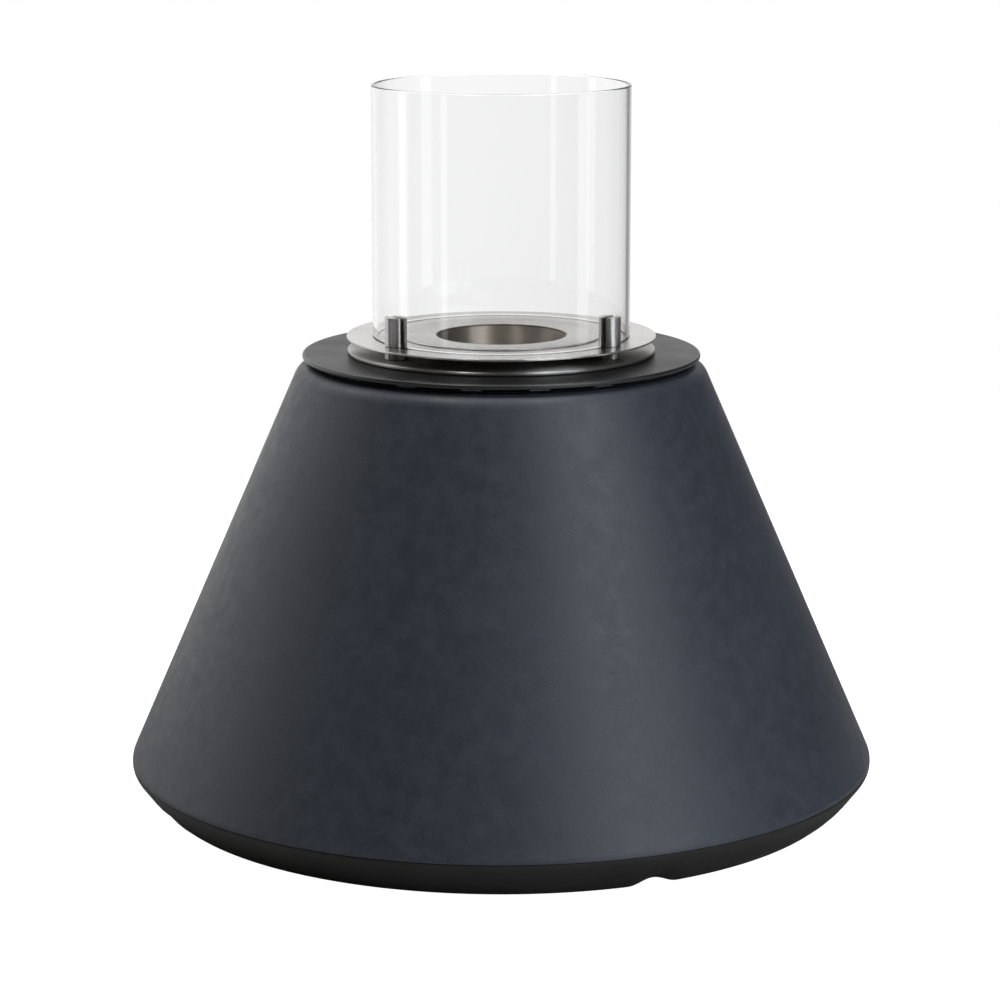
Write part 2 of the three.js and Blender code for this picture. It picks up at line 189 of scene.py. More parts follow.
class Nodes:
    """Short calls for the nodes of a material or of the world."""

    def __init__(self, tree):
        self.tree = tree

    def node(self, kind, **settings):
        node = self.tree.nodes.new(kind)
        for key, value in settings.items():
            setattr(node, key, value)
        return node

    def feed(self, socket, value):
        """Links a node's output to a socket, or sets the socket to a plain value."""
        if isinstance(value, bpy.types.NodeSocket):
            self.tree.links.new(value, socket)
        else:
            socket.default_value = value

    def math(self, operation, a, b):
        node = self.node("ShaderNodeMath", operation=operation)
        self.feed(node.inputs[0], a)
        self.feed(node.inputs[1], b)
        return node.outputs[0]

    def span(self, value, from_low, from_high, to_low, to_high):
        """The value carried smoothly from one range to another, and held at the ends."""
        node = self.node("ShaderNodeMapRange", interpolation_type="SMOOTHSTEP")
        self.feed(node.inputs["Value"], value)
        for key, number in zip(("From Min", "From Max", "To Min", "To Max"),
                               (from_low, from_high, to_low, to_high)):
            node.inputs[key].default_value = number
        return node.outputs["Result"]

    def parts(self, vector):
        """The X, Y and Z of a vector."""
        node = self.node("ShaderNodeSeparateXYZ")
        self.feed(node.inputs[0], vector)
        return node.outputs


class Finish(Nodes):
    """A material on a Principled shader, with its common textures."""

    def __init__(self, name, **values):
        self.material = bpy.data.materials.new(name)
        self.material.use_nodes = True
        super().__init__(self.material.node_tree)
        self.shader = self.tree.nodes["Principled BSDF"]
        self.place = self.node("ShaderNodeTexCoord").outputs["Object"]
        for key, value in values.items():
            self.shader.inputs[key.replace("_", " ")].default_value = value

    def stretched(self, x, y, z):
        """The place on the piece, with each axis scaled."""
        node = self.node("ShaderNodeVectorMath", operation="MULTIPLY")
        self.feed(node.inputs[0], self.place)
        node.inputs[1].default_value = (x, y, z)
        return node.outputs[0]

    def split(self):
        """The X, Y and Z of the place on the piece."""
        return self.parts(self.place)

    def radius(self):
        """Distance from the piece's own Z axis."""
        flat = self.stretched(1, 1, 0)
        node = self.node("ShaderNodeVectorMath", operation="LENGTH")
        self.feed(node.inputs[0], flat)
        return node.outputs["Value"]

    def noise(self, scale, detail=3.0, roughness=0.55, place=None, distortion=0.0):
        """Noise from 0 to 1, its scale in features to the metre."""
        node = self.node("ShaderNodeTexNoise")
        self.feed(node.inputs["Vector"], self.place if place is None else place)
        node.inputs["Scale"].default_value = scale
        node.inputs["Detail"].default_value = detail
        node.inputs["Roughness"].default_value = roughness
        node.inputs["Distortion"].default_value = distortion
        return node.outputs["Fac"]

    def pits(self, scale, size):
        """1 inside scattered round pits, 0 elsewhere."""
        node = self.node("ShaderNodeTexVoronoi")
        self.feed(node.inputs["Vector"], self.place)
        node.inputs["Scale"].default_value = scale
        return self.span(node.outputs["Distance"], size, 0.0, 0.0, 1.0)

    def mix(self, share, first, second):
        """A mix of two colours, each a node's output or plain red, green and blue."""
        node = self.node("ShaderNodeMix", data_type="RGBA")
        self.feed(node.inputs["Factor"], share)
        for key, value in (("A", first), ("B", second)):
            self.feed(node.inputs[key], value if isinstance(value, bpy.types.NodeSocket) else (*value, 1))
        return node.outputs["Result"]

    def rings(self, scale, along=3.0):
        """Streaks that run round the piece's own axis and fade in and out along their way."""
        combine = self.node("ShaderNodeCombineXYZ")
        x, y, z = self.split()
        self.feed(combine.inputs[0], self.math("MULTIPLY", self.radius(), scale))
        self.feed(combine.inputs[1], self.math("MULTIPLY", x, along))
        self.feed(combine.inputs[2], self.math("ADD", self.math("MULTIPLY", y, along),
                                               self.math("MULTIPLY", z, scale)))
        return self.noise(1.0, 4.0, 0.6, combine.outputs[0])

    def bump(self, height, distance, strength=1.0, under=None):
        node = self.node("ShaderNodeBump")
        node.inputs["Strength"].default_value = strength
        node.inputs["Distance"].default_value = distance
        self.feed(node.inputs["Height"], height)
        if under is not None:
            self.feed(node.inputs["Normal"], under)
        return node.outputs["Normal"]

    def colour(self, value):
        self.feed(self.shader.inputs["Base Color"], value)

    def roughness(self, value):
        self.feed(self.shader.inputs["Roughness"], value)

    def normal(self, value):
        self.feed(self.shader.inputs["Normal"], value)

    def brushed_round(self):
        """Highlights spread across lines that run round the piece's Z axis."""
        tangent = self.node("ShaderNodeTangent", direction_type="RADIAL", axis="Z")
        self.feed(self.shader.inputs["Tangent"], tangent.outputs[0])
        self.shader.inputs["Anisotropic Rotation"].default_value = 0.25


def fibre_cement():
    """Moulded fibre cement with a satin blue-grey stain: cloudy, with fine grain and pinholes."""
    f = Finish("fibre_cement", Specular_IOR_Level=0.5)
    clouds = f.noise(9, 4)
    mottle = f.noise(75, 5, 0.65)
    grain = f.noise(900, 3, 0.6)
    pinholes = f.math("MULTIPLY", f.pits(210, 0.13), f.span(f.noise(31, 2), 0.5, 0.62, 0, 1))
    colour = f.mix(f.span(clouds, 0.3, 0.7, 0, 1), (0.0285, 0.0337, 0.0465), (0.0365, 0.0428, 0.0585))
    colour = f.mix(f.span(mottle, 0.35, 0.7, 0, 0.42), colour, (0.049, 0.0565, 0.0745))
    colour = f.mix(f.span(grain, 0.3, 0.75, 0.0, 0.42), colour, (0.016, 0.018, 0.022))
    height = f.split()[2]
    rubbed = f.math("ADD", f.span(height, 0.046, 0.034, 0, 1), f.span(height, 0.338, 0.345, 0, 1))
    rubbed = f.math("MULTIPLY", rubbed, f.span(f.noise(130, 5, 0.7), 0.5, 0.72, 0, 0.35))
    colour = f.mix(rubbed, colour, (0.075, 0.080, 0.090))
    # Painted shade: the pinholes are painted near-black for the shade inside the pits.
    f.colour(f.mix(pinholes, colour, (0.012, 0.013, 0.015)))
    f.roughness(f.span(f.math("ADD", f.math("MULTIPLY", mottle, 0.6), f.math("MULTIPLY", grain, 0.4)),
                       0.3, 0.7, 0.40, 0.56))
    normal = f.bump(mottle, 0.00020, 0.5)
    normal = f.bump(grain, 0.00010, 0.45, normal)
    f.normal(f.bump(f.math("SUBTRACT", 1.0, pinholes), 0.0004, 0.6, normal))
    return f.material


def black_moulding():
    """Black moulded plastic with a fine spark-eroded texture and scuffs low down."""
    f = Finish("black_moulding", Specular_IOR_Level=0.3)
    grain = f.noise(1100, 3, 0.6)
    clouds = f.noise(14, 3)
    scuffs = f.math("MULTIPLY", f.span(f.noise(45, 6, 0.75, distortion=0.8), 0.56, 0.74, 0, 1),
                    f.span(f.split()[2], 0.014, 0.002, 0, 0.6))
    colour = f.mix(f.span(clouds, 0.3, 0.7, 0, 1), (0.0155, 0.0136, 0.0120), (0.0215, 0.0190, 0.0170))
    f.colour(f.mix(scuffs, colour, (0.045, 0.043, 0.041)))
    f.roughness(f.span(f.math("ADD", grain, scuffs), 0.3, 1.1, 0.52, 0.72))
    f.normal(f.bump(grain, 0.00012, 0.5))
    return f.material


def rubber(name, tint):
    """Matt rubber, with bloom and a slightly torn grain."""
    f = Finish(name, Specular_IOR_Level=0.3)
    grain = f.noise(1500, 4, 0.65)
    bloom = f.noise(120, 4, 0.6)
    f.colour(f.mix(f.span(bloom, 0.4, 0.75, 0, 0.6), tint, tuple(2.2 * c for c in tint)))
    f.roughness(f.span(bloom, 0.3, 0.7, 0.75, 0.92))
    f.normal(f.bump(grain, 0.0001, 0.6))
    return f.material


def powder_coat(name, shine):
    """Dark powder coat: fine orange peel, a little dust and rubbed patches."""
    f = Finish(name, Specular_IOR_Level=shine)
    peel = f.noise(620, 2, 0.4)
    fine = f.noise(2200, 2, 0.5)
    patches = f.noise(22, 4, 0.6)
    colour = f.mix(f.span(patches, 0.3, 0.7, 0, 1), (0.0105, 0.0101, 0.0103), (0.0150, 0.0145, 0.0147))
    dust = f.span(f.noise(340, 5, 0.8), 0.62, 0.8, 0, 0.25)
    f.colour(f.mix(dust, colour, (0.09, 0.087, 0.084)))
    f.roughness(f.span(patches, 0.3, 0.7, 0.31, 0.38))
    f.normal(f.bump(fine, 0.00003, 0.35, f.bump(peel, 0.00006, 0.4)))
    return f.material


def brushed_steel(name, dark, light, smudge, haze=0.0):
    """Stainless plate brushed round its axis, with finger smudges and, if asked, a dull haze."""
    f = Finish(name, Metallic=1.0 - haze, Anisotropic=0.6 + 3 * haze)
    fine = f.rings(5200, 6)
    coarse = f.rings(1500, 2.5)
    smudges = f.noise(26, 5, 0.65, distortion=0.6)
    streaks = f.math("ADD", f.math("MULTIPLY", fine, 0.6), f.math("MULTIPLY", coarse, 0.4))
    colour = f.mix(f.span(streaks, 0.3, 0.7, 0, 1), dark, light)
    f.colour(f.mix(f.span(smudges, 0.52, 0.72, 0, 0.22), colour, smudge))
    wear = f.math("ADD", streaks, f.math("MULTIPLY", smudges, 0.5))
    f.roughness(f.span(wear, 0.5, 1.0, 0.20 + haze, 0.33 + haze))
    f.normal(f.bump(streaks, 0.00003, 0.35))
    f.brushed_round()
    return f.material


def cut_edge():
    """The tumbled edge of a sheet: bright, and too fine to show lines."""
    f = Finish("cut_edge", Metallic=0.85)
    grain = f.noise(900, 4, 0.6)
    f.colour(f.mix(f.span(grain, 0.35, 0.65, 0, 1), (0.62, 0.60, 0.575), (0.74, 0.72, 0.695)))
    f.roughness(f.span(grain, 0.3, 0.7, 0.40, 0.52))
    f.normal(f.bump(grain, 0.00002, 0.4))
    return f.material


def lip_painted_shade():
    """Painted shade on the lip of the throat: dark browns where its edge is in shade."""
    f = Finish("lip_painted_shade", Metallic=0.8)
    shade_tone = f.noise(60, 5, 0.6, distortion=0.4)
    f.colour(f.mix(f.span(shade_tone, 0.3, 0.7, 0, 1), (0.055, 0.042, 0.033), (0.13, 0.105, 0.085)))
    f.roughness(f.span(shade_tone, 0.3, 0.7, 0.34, 0.50))
    f.normal(f.bump(f.noise(800, 3), 0.00002, 0.4))
    return f.material


def throat_steel():
    """The drawn throat: brushed round its wall, a little straw-coloured from heat."""
    f = Finish("throat_steel", Metallic=1.0, Anisotropic=1.0)
    streaks = f.rings(3400, 5)
    heat = f.span(f.split()[2], 0.336, 0.368, 1.0, 0.35)
    stain = f.math("MULTIPLY", heat, f.span(f.noise(30, 4, 0.6), 0.25, 0.75, 0.4, 1.0))
    colour = f.mix(f.span(streaks, 0.3, 0.7, 0, 1), (0.42, 0.375, 0.325), (0.58, 0.53, 0.475))
    f.colour(f.mix(stain, colour, (0.36, 0.285, 0.22)))
    f.roughness(f.span(streaks, 0.3, 0.7, 0.42, 0.52))
    f.normal(f.bump(streaks, 0.00004, 0.4))
    f.brushed_round()
    return f.material


def polished_steel():
    """Turned and polished stainless, with the finest lines of the turning left in it."""
    f = Finish("polished_steel", Metallic=1.0, Anisotropic=0.95)
    lines = f.noise(1.0, 3, 0.6, f.stretched(250, 250, 5200))
    smudges = f.noise(160, 4, 0.6)
    f.colour(f.mix(f.span(smudges, 0.35, 0.7, 0, 1), (0.60, 0.59, 0.575), (0.52, 0.51, 0.495)))
    f.roughness(f.span(f.math("ADD", lines, smudges), 0.6, 1.3, 0.26, 0.38))
    f.normal(f.bump(lines, 0.00001, 0.3))
    f.brushed_round()
    return f.material


def zinc_steel():
    """Zinc-plated steel with a spangled, slightly dulled plate."""
    f = Finish("zinc_steel", Metallic=1.0)
    spangle = f.noise(240, 4, 0.6)
    dulling = f.noise(60, 5, 0.7)
    colour = f.mix(f.span(spangle, 0.3, 0.7, 0, 1), (0.40, 0.41, 0.43), (0.55, 0.56, 0.57))
    f.colour(f.mix(f.span(dulling, 0.5, 0.75, 0, 0.5), colour, (0.33, 0.32, 0.30)))
    f.roughness(f.span(dulling, 0.3, 0.7, 0.28, 0.5))
    f.normal(f.bump(spangle, 0.00005, 0.3))
    return f.material


def sheet_steel():
    """Cold-rolled stainless sheet, drawn up into a can."""
    f = Finish("sheet_steel", Metallic=1.0, Anisotropic=0.3)
    drawn = f.noise(1.0, 4, 0.6, f.stretched(420, 420, 26))
    stains = f.noise(30, 5, 0.65)
    colour = f.mix(f.span(drawn, 0.3, 0.7, 0, 1), (0.44, 0.43, 0.415), (0.56, 0.55, 0.53))
    f.colour(f.mix(f.span(stains, 0.5, 0.75, 0, 0.5), colour, (0.36, 0.32, 0.28)))
    f.roughness(f.span(stains, 0.3, 0.7, 0.38, 0.52))
    f.normal(f.bump(drawn, 0.00004, 0.35))
    f.brushed_round()
    return f.material


def clear_glass():
    """Clear borosilicate tube with the faint waviness of drawn glass."""
    f = Finish("clear_glass", Roughness=0.0, IOR=1.47, Transmission_Weight=1.0)
    drawn = f.noise(1.0, 2, 0.5, f.stretched(38, 38, 3))
    dust = f.span(f.noise(1300, 3, 0.8), 0.72, 0.85, 0, 0.15)
    f.colour(f.mix(dust, (0.998, 1.0, 0.999), (0.96, 0.96, 0.95)))
    f.normal(f.bump(drawn, 0.00003, 0.25))
    return f.material


def ceramic_fibre():
    """Pressed white ceramic wool."""
    f = Finish("ceramic_fibre", Specular_IOR_Level=0.2)
    fibres = f.noise(1.0, 6, 0.7, f.stretched(500, 900, 600))
    stains = f.noise(40, 4)
    colour = f.mix(f.span(fibres, 0.3, 0.7, 0, 1), (0.58, 0.55, 0.49), (0.80, 0.78, 0.72))
    f.colour(f.mix(f.span(stains, 0.5, 0.75, 0, 0.5), colour, (0.50, 0.43, 0.33)))
    f.roughness(f.span(fibres, 0.3, 0.7, 0.85, 1.0))
    f.normal(f.bump(fibres, 0.0006, 0.7))
    return f.material


FIBRE_CEMENT = fibre_cement()
BLACK_MOULDING = black_moulding()
RUBBER = rubber("rubber", (0.012, 0.012, 0.012))
# Painted light: the lugs' grey rubber is made lighter and bluer so that they show lit in the shade under
# the plate.
LUG_PAINTED_LIGHT_RUBBER = rubber("lug_painted_light_rubber", (0.27, 0.30, 0.35))
SILICONE = rubber("silicone", (0.085, 0.072, 0.062))
POWDER_COAT = powder_coat("powder_coat", 0.11)
POWDER_EDGE = powder_coat("powder_coat_edge", 0.55)
DISC_STEEL = brushed_steel("disc_steel", (0.34, 0.328, 0.312), (0.42, 0.408, 0.392),
                           (0.29, 0.278, 0.262), 0.13)
RING_STEEL = brushed_steel("ring_steel", (0.49, 0.475, 0.455), (0.60, 0.585, 0.565),
                           (0.41, 0.395, 0.375))
FLANGE_STEEL = brushed_steel("flange_steel", (0.385, 0.373, 0.355), (0.475, 0.462, 0.442),
                             (0.33, 0.317, 0.298))
CUT_EDGE = cut_edge()
LIP_PAINTED_SHADE = lip_painted_shade()
THROAT_STEEL = throat_steel()
POLISHED_STEEL = polished_steel()
ZINC_STEEL = zinc_steel()
SHEET_STEEL = sheet_steel()
CLEAR_GLASS = clear_glass()
CERAMIC_FIBRE = ceramic_fibre()


# ---- Shapes -------------------------------------------------------------------------------


def rounded(before, corner, after, size):
    """Points round a corner between three points, each a complex number."""
    back = (before - corner) / abs(before - corner)
    ahead = (after - corner) / abs(after - corner)
    turn = phase(-ahead / back)
    half = (pi - abs(turn)) / 2
    start = corner + back * size / tan(half)
    centre = corner + (back + ahead) / abs(back + ahead) * size / sin(half)
    steps = max(3, ceil(abs(turn) / ARC_STEP))
    return [centre + (start - centre) * rect(1, turn * i / steps) for i in range(steps + 1)]


def outline(corners):
    """A closed outline from (x, y, rounding) corners, as complex numbers. Long straight runs get
    a point near each end, so that the shading of a rounded corner stays in the corner."""
    points = [complex(c[0], c[1]) for c in corners]
    runs = []
    for i, corner in enumerate(corners):
        size = corner[2] if len(corner) > 2 else 0
        before, after = points[i - 1], points[(i + 1) % len(points)]
        runs.append(rounded(before, points[i], after, size) if size else [points[i]])
    result = []
    for i, run in enumerate(runs):
        result += run
        start, end = run[-1], runs[(i + 1) % len(runs)][0]
        if abs(end - start) > 4 * SUPPORT:
            step = (end - start) / abs(end - start) * SUPPORT
            result += [start + step, end - step]
    return result


def finish_mesh(name, shape, material):
    """A linked object from a bmesh, with clean normals and sharp edges where it turns hard."""
    bmesh.ops.remove_doubles(shape, verts=shape.verts, dist=1e-7)
    bmesh.ops.recalc_face_normals(shape, faces=shape.faces)
    mesh = bpy.data.meshes.new(name)
    shape.to_mesh(mesh)
    shape.free()
    mesh.materials.append(material)
    mesh.shade_smooth()
    mesh.set_sharp_from_angle(angle=SHARP)
    piece = bpy.data.objects.new(name, mesh)
    bpy.context.scene.collection.objects.link(piece)
    return piece


def lathe(name, corners, material, segments=ROUND):
    """The outline of (radius, height, rounding) corners, turned round the Z axis."""
    profile = outline(corners)
    shape = bmesh.new()
    columns = []
    for i in range(segments):
        turn = 2 * pi * i / segments
        columns.append([shape.verts.new((p.real * cos(turn), p.real * sin(turn), p.imag)) for p in profile])
    for i, column in enumerate(columns):
        following = columns[(i + 1) % segments]
        for j in range(len(profile)):
            k = (j + 1) % len(profile)
            if profile[j].real > 0 or profile[k].real > 0:
                shape.faces.new((column[j], following[j], following[k], column[k]))
    return finish_mesh(name, shape, material)


def prism(name, points, bottom, top, material, bevel=0.0, steps=3):
    """A flat outline of complex numbers, drawn up from bottom to top, its edges rounded."""
    shape = bmesh.new()
    below = [shape.verts.new((p.real, p.imag, bottom)) for p in points]
    above = [shape.verts.new((p.real, p.imag, top)) for p in points]
    shape.faces.new(below[::-1])
    shape.faces.new(above)
    for i in range(len(points)):
        j = (i + 1) % len(points)
        shape.faces.new((below[i], below[j], above[j], above[i]))
    if bevel:
        bmesh.ops.recalc_face_normals(shape, faces=shape.faces)
        edges = [e for e in shape.edges if e.calc_face_angle(0) > SHARP]
        bmesh.ops.bevel(shape, geom=edges, offset=bevel, segments=steps, profile=0.5, affect="EDGES")
    return finish_mesh(name, shape, material)


def circle(radius, segments, centre=0j):
    return [centre + rect(radius, 2 * pi * i / segments) for i in range(segments)]


def sector(radii, centre, span, step=1.0):
    """The outline of a part of a flat ring, with its angles in degrees from the front."""
    count = ceil(span / step)
    angles = [centre + span * (i / count - 0.5) for i in range(count + 1)]
    line = [on_circle(radii[1], a) for a in angles] + [on_circle(radii[0], a) for a in reversed(angles)]
    return [complex(p.x, p.y) for p in line]


def applied(piece):
    """Makes the result of a piece's modifiers its own mesh."""
    graph = bpy.context.evaluated_depsgraph_get()
    mesh = bpy.data.meshes.new_from_object(piece.evaluated_get(graph))
    piece.modifiers.clear()
    old = piece.data
    piece.data = mesh
    bpy.data.meshes.remove(old)


def cut(piece, cutters, operation="DIFFERENCE"):
    """Cuts the cutters, which don't overlap each other, out of a piece, and removes them."""
    joined = bmesh.new()
    for cutter in cutters:
        joined.from_mesh(cutter.data)
        bpy.data.objects.remove(cutter)
    tool = finish_mesh("cutter", joined, piece.data.materials[0])
    modifier = piece.modifiers.new("cut", "BOOLEAN")
    modifier.operation = operation
    modifier.solver = "MANIFOLD"
    modifier.object = tool
    bpy.context.view_layer.update()
    applied(piece)
    piece.data.shade_smooth()
    piece.data.set_sharp_from_angle(angle=SHARP)
    bpy.data.objects.remove(tool)


def weigh_normals(piece):
    """Keeps wide flat faces flat next to narrow rounded edges."""
    modifier = piece.modifiers.new("weighted", "WEIGHTED_NORMAL")
    modifier.keep_sharp = True


def paint(piece, material, chosen):
    """Gives another material to the faces chosen by their distance from the axis and height."""
    index = len(piece.data.materials)
    piece.data.materials.append(material)
    for face in piece.data.polygons:
        if chosen(hypot(face.center.x, face.center.y), face.center.z):
            face.material_index = index


def copied(piece, name, place):
    """Another object with the same mesh."""
    copy = bpy.data.objects.new(name, piece.data)
    copy.location = place
    bpy.context.scene.collection.objects.link(copy)
    return copy


def stand(piece, body, slot, *nodes):
    """Puts a piece on its body, in place of its CAD nodes."""
    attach(piece, body)
    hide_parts(*nodes)


def drill(radius, bottom, top, places):
    """Round cutters at several places."""
    circles = [circle(radius, TINY_ROUND, complex(p.x, p.y)) for p in places]
    return [prism("cutter", points, bottom - MM, top + MM, ZINC_STEEL) for points in circles]


# ---- Base ---------------------------------------------------------------------------------

SHELL_SLOPE = (outer("cone_shell") - SHELL_TOP_RADIUS) / (high("cone_shell") - SHELL_EDGE_CORNER)


def slope_radius(z):
    """Outer radius of the shell's cone at a height."""
    return SHELL_TOP_RADIUS + (high("cone_shell") - z) * SHELL_SLOPE


def cone_shell():
    bottom, top = low("cone_shell"), high("cone_shell")
    lip, wide = inner("cone_shell"), outer("cone_shell")
    corners = [
        (lip, top, 1.2 * MM),
        (SHELL_TOP_RADIUS, top, SHOULDER_ROUNDING),
        (wide, SHELL_EDGE_CORNER, SHELL_EDGE_ROUNDING),
        (wide, bottom, 0.6 * MM),
        (FOOT_FLANGE_RADIUS, bottom, 1 * MM),
        (FOOT_FLANGE_RADIUS, bottom + FOOT_FLANGE, 2 * MM),
        (slope_radius(bottom + FOOT_FLANGE) - SHELL_WALL, bottom + FOOT_FLANGE, 4 * MM),
        (slope_radius(top - SHELL_LIP) - SHELL_WALL, top - SHELL_LIP, 5 * MM),
        (lip, top - SHELL_LIP, 1.2 * MM),
    ]
    stand(lathe("shell_moulding", corners, FIBRE_CEMENT), "base", "shell", "cone_shell")


cone_shell()


def notch_lift(angle):
    """How far the plinth's foot is raised at an angle from the front."""
    spacing = 360 / NOTCH_COUNT
    away = (angle - NOTCH_ANGLE + spacing / 2) % spacing - spacing / 2
    along = radians(away) * PLINTH_FLOOR_RADIUS
    if abs(along) >= NOTCH_WIDTH / 2:
        return 0.0
    return NOTCH_HEIGHT * (0.5 + 0.5 * cos(2 * pi * along / NOTCH_WIDTH))


def plinth():
    top, bottom = high("plinth_ring"), low("plinth_ring")
    wide, throat = outer("plinth_ring"), inner("plinth_ring")
    shelf = top - PLINTH_WALL
    corners = [
        (wide, top, 0.5 * MM),
        (wide, PLINTH_CORNER, PLINTH_CORNER_ROUNDING),
        PLINTH_BELLY,
        (PLINTH_FLOOR_RADIUS, bottom, 0.8 * MM),
        (throat, bottom, 1 * MM),
        (throat, bottom + PLINTH_WALL, 1 * MM),
        (PLINTH_FLOOR_RADIUS, bottom + PLINTH_WALL, 2 * MM),
        (wide - 2 * PLINTH_WALL, shelf, 2 * MM),
        (FOOT_FLANGE_RADIUS, shelf, 0.8 * MM),
        (FOOT_FLANGE_RADIUS, top, 0.8 * MM),
    ]
    piece = lathe("plinth_moulding", corners, BLACK_MOULDING, PLINTH_ROUND)
    for vertex in piece.data.vertices:
        x, y, z = vertex.co
        share = max(0.0, 1 - (z - bottom) / NOTCH_FADE)
        vertex.co.z += notch_lift(atan2(x, -y) * 180 / pi) * share
    strips = [NOTCH_ANGLE + (i + 0.5) * 360 / NOTCH_COUNT for i in range(NOTCH_COUNT)]
    radii = (STRIP_RADII[0] - SEAT_GAP, STRIP_RADII[1] + SEAT_GAP)
    seat_top = high("foot_strip_1") + SEAT_GAP
    seats = [prism("cutter", sector(radii, a, SEAT_SPAN, 0.5), bottom - 2 * MM, seat_top, ZINC_STEEL)
             for a in strips]
    places = [middle(f"plinth_screw_{i}") for i in range(1, PLINTH_SCREWS + 1)]
    cut(piece, seats + drill(PLINTH_SCREW_CLEARANCE, shelf, top, places))
    weigh_normals(piece)
    stand(piece, "base", "plinth", "plinth_ring")


def foot_strips():
    """Rubber strips with ribs along their tread."""
    node = "foot_strip_1"
    bottom, top = low(node), high(node)
    angle = NOTCH_ANGLE + 180 / NOTCH_COUNT
    pitch = (STRIP_RADII[1] - STRIP_RADII[0]) / STRIP_RIBS
    strip = prism("foot_strip_1_rubber", sector(STRIP_RADII, angle, STRIP_SPAN), bottom, top, RUBBER,
                  0.4 * MM)
    grooves = []
    for i in range(1, STRIP_RIBS):
        radius = STRIP_RADII[0] + pitch * i
        radii = (radius - TREAD_GROOVE_WIDTH / 2, radius + TREAD_GROOVE_WIDTH / 2)
        line = sector(radii, angle, STRIP_SPAN - 1)
        grooves.append(prism("cutter", line, bottom - MM, bottom + TREAD_GROOVE_DEPTH, RUBBER))
    cut(strip, grooves)
    weigh_normals(strip)
    stand(strip, "base", "rubber", node)
    for number in range(2, NOTCH_COUNT + 1):
        node = f"foot_strip_{number}"
        strip = copied(strip, f"{node}_rubber", (0, 0, 0))
        strip.rotation_euler.z = radians((number - 1) * 360 / NOTCH_COUNT)
        weigh_normals(strip)
        stand(strip, "base", "rubber", node)


plinth()
foot_strips()


def threaded(start, end, radius, pitch):
    """The profile of a thread's crests and roots, up to its last root below the end."""
    corners = []
    z = start
    while z < end:
        corners += [(radius * THREAD_ROOT, z), (radius, z + pitch / 2)]
        z += pitch
    return [*corners, (radius * THREAD_ROOT, z)]


def screws(stem, count, head_radius, head_height, shank_radius, body):
    """Pan-head screws, their heads down, each with a cross recess and a thread."""
    bottom, top = low(f"{stem}_1"), high(f"{stem}_1")
    pitch = shank_radius * 0.55
    neck = bottom + head_height
    rim = bottom + head_height * HEAD_RIM
    corners = [
        (0, bottom), (head_radius * 0.72, bottom, head_radius / 11),
        (head_radius, rim, head_radius * 0.22), (head_radius, neck, 0.15 * MM),
        (shank_radius * THREAD_ROOT, neck),
        *threaded(neck + pitch, top - 2 * pitch, shank_radius, pitch),
        (shank_radius * 0.6, top, 0.1 * MM), (0, top),
    ]
    piece = lathe(f"{stem}_1_turned", corners, ZINC_STEEL, TINY_ROUND)
    arm, half = head_radius * 0.55, head_radius * 0.11
    quarter = (complex(half, -arm), complex(half, -half), complex(arm, -half))
    cross = [rect(1, i * pi / 2) * p for i in range(4) for p in quarter]
    cut(piece, [prism("cutter", cross, bottom - MM, bottom + head_height * 0.45, ZINC_STEEL)])
    piece.location = middle(f"{stem}_1")
    stand(piece, body, "fasteners", f"{stem}_1")
    for number in range(2, count + 1):
        node = f"{stem}_{number}"
        stand(copied(piece, f"{node}_turned", middle(node)), body, "fasteners", node)


screws("plinth_screw", PLINTH_SCREWS, 5.5 * MM, 3.5 * MM, 3 * MM, "base")


def spacer():
    """A flat rubber ring with lugs that carry the plate, its lugs painted light and its band painted shade.
    """
    bottom, top = low("spacer_ring"), high("spacer_ring")
    inside, outside = SPACER_RADII
    band_top = bottom + SPACER_BAND
    ring = lathe("spacer_moulding", [
        (inside, bottom, 0.2 * MM), (outside, bottom, 0.2 * MM),
        (outside, band_top, 0.2 * MM), (inside, band_top, 0.2 * MM),
    ], LUG_PAINTED_LIGHT_RUBBER)
    half = complex(LUG_WIDTH / 2, LUG_DEPTH / 2)
    flat = (-half, half.conjugate(), half, -half.conjugate())
    lugs = []
    for i in range(LUG_COUNT):
        angle = LUG_FIRST + i * 360 / LUG_COUNT
        place = on_circle((inside + outside) / 2, angle)
        points = [complex(place.x, place.y) + rect(1, radians(angle)) * p for p in flat]
        lugs.append(prism("cutter", points, bottom + 0.1 * MM, top, LUG_PAINTED_LIGHT_RUBBER, 0.4 * MM))
    cut(ring, lugs, "UNION")
    # Painted shade: the band between the lugs gets black rubber so that the gap under the plate reads as
    # shadow.
    paint(ring, RUBBER, lambda reach, height: height < band_top + 0.05 * MM)
    weigh_normals(ring)
    stand(ring, "base", "rubber", "spacer_ring")


spacer()


# ---- Top plate, disc and ring -------------------------------------------------------------

SCREW_PLACES = [middle(f"post_screw_{i}") for i in range(1, 5)]
STUD_PLACES = [middle(f"ring_stud_{i}") for i in (1, 2)]
POST_SCREW_HOLES = (SCREW_CLEARANCE, SCREW_PLACES)
STUD_HOLES = (STUD_CLEARANCE, STUD_PLACES)


def round_plate(name, node, material, rounding, inner_rounding, holes):
    """A flat ring with a rounded rim and holes, each kind of hole given by its radius and places."""
    bottom, top = low(node), high(node)
    inside, outside = inner(node), outer(node)
    piece = lathe(name, [
        (inside, bottom, inner_rounding), (outside, bottom, rounding),
        (outside, top, rounding), (inside, top, inner_rounding),
    ], material, PLATE_ROUND)
    cut(piece, [cutter for radius, places in holes for cutter in drill(radius, bottom, top, places)])
    weigh_normals(piece)
    return piece


